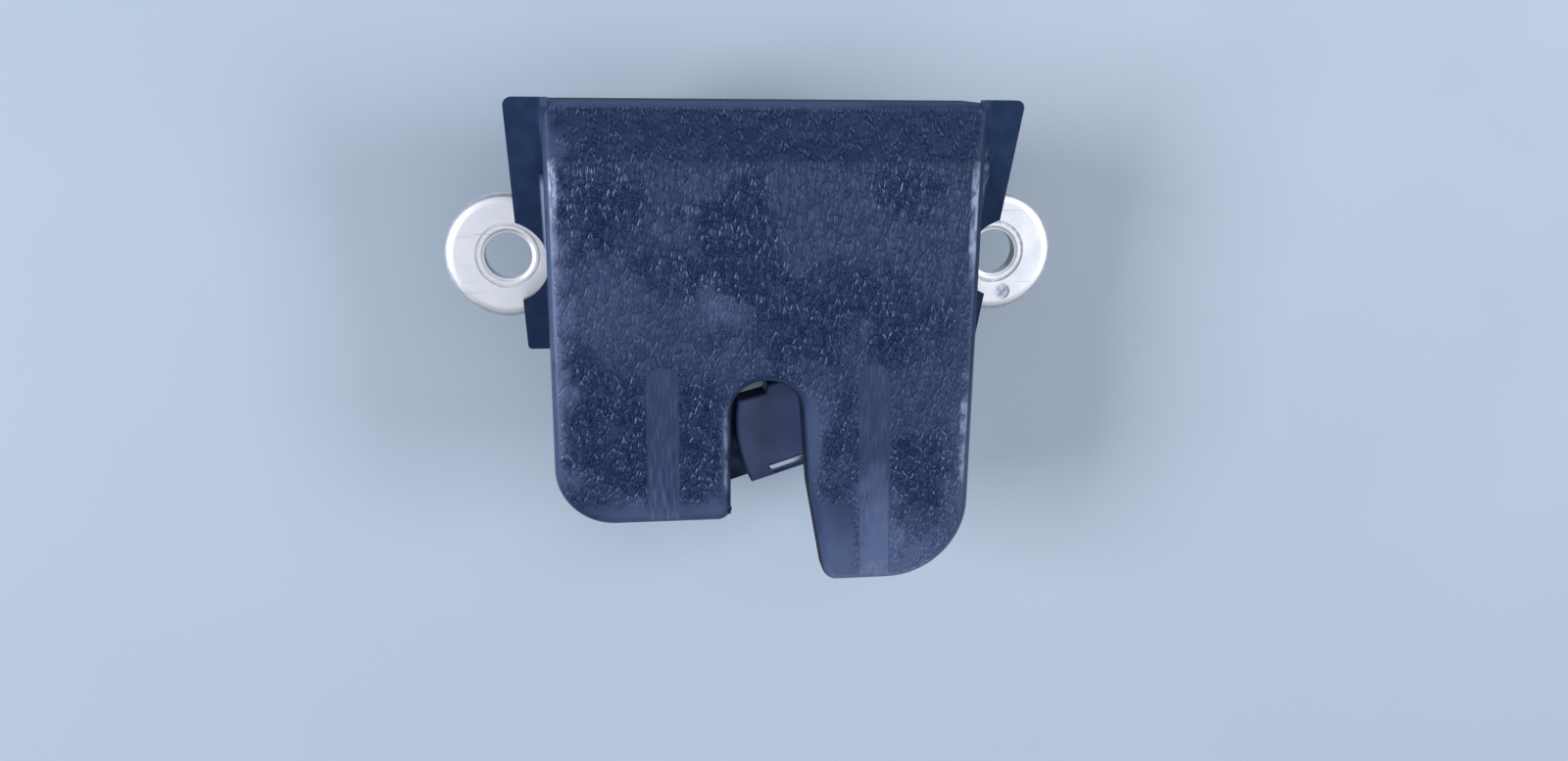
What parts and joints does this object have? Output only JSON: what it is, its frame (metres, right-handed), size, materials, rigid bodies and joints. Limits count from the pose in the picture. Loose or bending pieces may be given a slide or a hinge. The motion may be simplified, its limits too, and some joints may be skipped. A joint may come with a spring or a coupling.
{
  "type": "tailgate lock",
  "caption": "Electric car tailgate latch with a grained plastic cover, a steel plate with bolt ears and a slot where a rotary catch holds the striker.",
  "frame": {"origin": "midway between the two bolt holes, on the front face of the mounting ears", "axes": "+X from one bolt hole to the other, +Y away from the slot's mouth, +Z out of the grained cover"},
  "size_m": [0.119, 0.0917, 0.0505],
  "materials": {
    "grained_black_plastic": "leather grain, satin",
    "black_plastic": "smooth, satin",
    "black_nylon": "smooth, satin",
    "black_rubber": "matte",
    "white_acetal": "satin",
    "zinc_plated_steel": "zinc plated",
    "bright_steel": "ground",
    "blackened_steel": "phosphated and oiled",
    "spring_steel": "drawn wire",
    "brass": "machined",
    "tinned_brass": "tin plated"
  },
  "bodies": {
    "lock_frame": {"front_cover": "grained_black_plastic", "base_plate": "zinc_plated_steel", "retainer_plate": "zinc_plated_steel", "striker_buffer": "black_rubber", "catch_pivot_rivet": "zinc_plated_steel", "pawl_pivot_rivet": "zinc_plated_steel", "spacer_rivet": "zinc_plated_steel", "catch_spring": "spring_steel", "pawl_spring": "spring_steel", "actuator_housing": "black_plastic", "contact_pins": "tinned_brass", "housing_seal": "black_rubber", "housing_lid": "black_plastic", "lid_screws": "zinc_plated_steel", "housing_screws": "zinc_plated_steel", "cover_screws": "zinc_plated_steel", "wheel_axle": "bright_steel", "motor_can": "zinc_plated_steel", "motor_end_cap": "white_acetal", "switch_body": "black_nylon"},
    "catch": {"catch_core": "blackened_steel", "catch_jacket": "black_nylon"},
    "pawl": {"pawl_lever": "blackened_steel", "pawl_pad": "black_nylon", "release_pin": "bright_steel"},
    "cam_wheel": {"worm_wheel": "white_acetal"},
    "motor_armature": {"worm": "brass", "motor_shaft": "bright_steel", "motor_rotor": "bright_steel"},
    "switch_slider": {"switch_plunger": "white_acetal"}
  },
  "joints": [
    {"name": "catch_turn", "type": "hinge", "parent": "lock_frame", "child": "catch", "pos_m": [0.022, -0.031, 0.003], "axis": [0, 0, 1], "range_deg": [-54.6, 0], "stiffness_Nm_per_rad": 0.05, "springref_deg": 34.38, "deforming": ["catch_spring"]},
    {"name": "pawl_swing", "type": "hinge", "parent": "lock_frame", "child": "pawl", "pos_m": [-0.017, -0.028, 0.003], "axis": [0, 0, 1], "range_deg": [-7.2, 0.2], "deforming": ["pawl_spring"]},
    {"name": "wheel_turn", "type": "hinge", "parent": "lock_frame", "child": "cam_wheel", "pos_m": [0.003, -0.003, -0.016], "axis": [0, 0, 1], "range_deg": [-150, 0]},
    {"name": "motor_spin", "type": "hinge", "parent": "lock_frame", "child": "motor_armature", "pos_m": [0, 0.0122, -0.016], "axis": [1, 0, 0], "range_deg": [-4510, 10]},
    {"name": "switch_slide", "type": "slide", "parent": "lock_frame", "child": "switch_slider", "axis": [1, 0, 0], "range_m": [-0.0001, 0.0031]}
  ],
  "couplings": [
    {"joint": "pawl_swing", "follows": "wheel_turn", "ratio": 0.046667},
    {"joint": "motor_spin", "follows": "wheel_turn", "ratio": 30},
    {"joint": "switch_slide", "follows": "wheel_turn", "m_per_rad": -0.001115}
  ]
}
